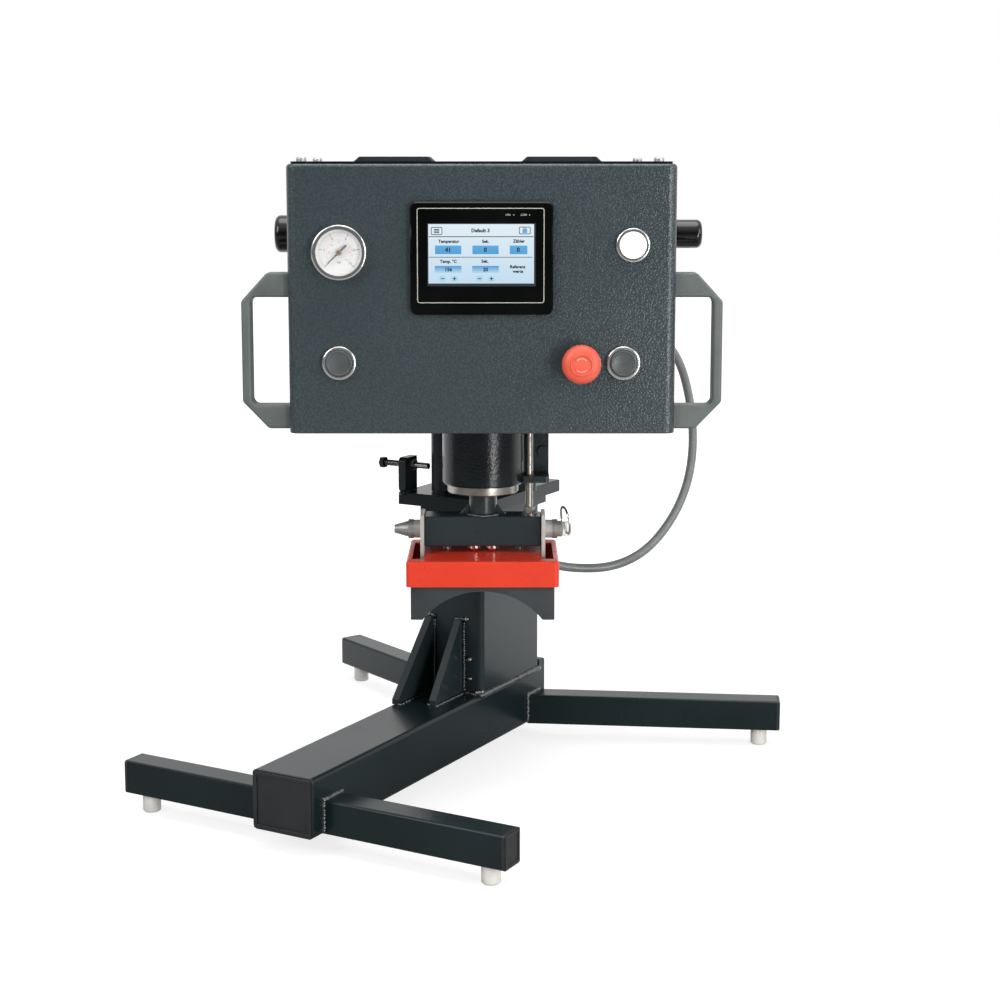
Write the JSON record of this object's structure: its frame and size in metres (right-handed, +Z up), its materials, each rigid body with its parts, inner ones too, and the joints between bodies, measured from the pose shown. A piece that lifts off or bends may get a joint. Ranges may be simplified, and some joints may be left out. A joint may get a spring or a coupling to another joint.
{
  "type": "pneumatic heat press",
  "caption": "Swing-head pneumatic heat press with a touch-screen control case, an air-driven ram and a concave heated platen for caps, on a splayed tube base.",
  "frame": {"origin": "on the bench, straight under the axis that the head swings about", "axes": "+Z up; the control panel faces -Y in the rest pose; +X to the operator's right; the base is turned 29.2 degrees clockwise seen from above"},
  "size_m": [0.6356, 0.6646, 0.6003],
  "materials": {
    "base_paint": "gloss black-blue powder coat",
    "case_paint": "dark blue-grey wrinkle coat",
    "lid_paint": "dark blue-black satin coat",
    "cover_red": "gloss red paint",
    "platen_coat": "dark grey non-stick coat",
    "bare_steel": "turned bare steel",
    "zinc_steel": "bright zinc plate",
    "chrome": "polished chrome",
    "nickel_brass": "nickel-plated brass",
    "bronze": "sintered bronze",
    "black_plastic": "black moulded plastic",
    "handle_grey": "dark grey textured moulding",
    "white_nylon": "white nylon",
    "button_grey": "dark grey satin plastic",
    "lamp_white": "translucent white lens",
    "stop_red": "coral red plastic",
    "conduit_grey": "light grey sheathed conduit",
    "dial_white": "printed white dial",
    "needle_black": "black needle",
    "screen_glass": "lit display",
    "element_foil": "foil-faced heating element",
    "mica_board": "mineral insulation board"
  },
  "bodies": {
    "base": {"base_beam": "base_paint", "beam_end_plate": "base_paint", "front_arms": "base_paint", "rear_arms": "base_paint", "tube_end_caps": "black_plastic", "feet": "white_nylon", "column": "base_paint", "gussets": "base_paint", "platform": "base_paint", "pivot_post": "bare_steel", "post_retainer": "zinc_steel", "stop_lug": "base_paint", "stop_screw": "zinc_steel"},
    "head": {"mast": "base_paint", "pivot_bushes": "bronze", "carrier_plate": "base_paint", "cylinder_barrel": "case_paint", "cylinder_caps": "bare_steel", "guide_bracket": "base_paint", "guide_bush": "bronze", "case_shell": "case_paint", "case_lid": "lid_paint", "lid_screws": "chrome", "rear_panel": "case_paint", "case_floor": "case_paint", "gauge_housing": "chrome", "gauge_dial": "dial_white", "touch_panel": "black_plastic", "touch_screen": "screen_glass", "button_bezels": "chrome", "switch_bodies": "black_plastic", "regulator_bodies": "zinc_steel", "handle_left": "handle_grey", "handle_right": "handle_grey", "handle_screws": "zinc_steel", "cable_gland": "black_plastic", "air_inlet": "nickel_brass", "power_inlet": "black_plastic", "heater_cable": "conduit_grey"},
    "needle": {"gauge_needle": "needle_black"},
    "left_start": {"start_button_left": "button_grey"},
    "right_start": {"start_button_right": "button_grey"},
    "lamp": {"lamp_button": "lamp_white"},
    "estop": {"estop_mushroom": "stop_red"},
    "regulator": {"regulator_knob": "black_plastic"},
    "flow": {"flow_knob": "black_plastic"},
    "ram": {"ram_rod": "bare_steel", "ram_bar": "base_paint", "guide_rod": "bare_steel", "levelling_screws": "chrome"},
    "platen": {"platen_ears": "zinc_steel", "pin_rings": "zinc_steel", "heating_platen": "platen_coat", "heating_element": "element_foil", "insulation_board": "mica_board", "heater_cover": "cover_red", "cover_screws": "zinc_steel", "heater_gland": "nickel_brass"},
    "pin": {"locking_pin": "chrome"},
    "ring": {"pull_ring": "chrome"}
  },
  "joints": [
    {"name": "head_swing", "type": "hinge", "parent": "base", "child": "head", "pos_m": [0, 0, 0.274], "axis": [0, 0, 1], "range_deg": [0, 75]},
    {"name": "press_stroke", "type": "slide", "parent": "head", "child": "ram", "axis": [0, 0, -1], "range_m": [0, 0.035], "deforming": ["heater_cable"]},
    {"name": "platen_tilt", "type": "hinge", "parent": "ram", "child": "platen", "pos_m": [0, -0.151, 0.256], "axis": [1, 0, 0], "range_deg": [-2.5, 2.5], "deforming": ["heater_cable"]},
    {"name": "pin_draw", "type": "slide", "parent": "ram", "child": "pin", "axis": [1, 0, 0], "range_m": [0, 0.15]},
    {"name": "ring_turn", "type": "hinge", "parent": "pin", "child": "ring", "pos_m": [0.079, -0.151, 0.2516], "axis": [-0.2588, 0.9659, 0], "range_deg": [-6, 92]},
    {"name": "needle_turn", "type": "hinge", "parent": "head", "child": "needle", "pos_m": [-0.124, -0.239, 0.5168], "axis": [0, 1, 0], "range_deg": [0, 270]},
    {"name": "left_start_press", "type": "slide", "parent": "head", "child": "left_start", "axis": [0, 1, 0], "range_m": [0, 0.0018], "stiffness_N_per_m": 1500, "springref_m": -0.002},
    {"name": "right_start_press", "type": "slide", "parent": "head", "child": "right_start", "axis": [0, 1, 0], "range_m": [0, 0.0018], "stiffness_N_per_m": 1500, "springref_m": -0.002},
    {"name": "lamp_press", "type": "slide", "parent": "head", "child": "lamp", "axis": [0, 1, 0], "range_m": [0, 0.0018], "stiffness_N_per_m": 1500, "springref_m": -0.002},
    {"name": "estop_press", "type": "slide", "parent": "head", "child": "estop", "axis": [0, 1, 0], "range_m": [0, 0.004], "stiffness_N_per_m": 2000, "springref_m": -0.002},
    {"name": "regulator_turn", "type": "hinge", "parent": "head", "child": "regulator", "pos_m": [-0.172, -0.15, 0.53], "axis": [1, 0, 0], "range_deg": [-150, 150]},
    {"name": "flow_turn", "type": "hinge", "parent": "head", "child": "flow", "pos_m": [0.172, -0.15, 0.53], "axis": [1, 0, 0], "range_deg": [-150, 150]}
  ]
}
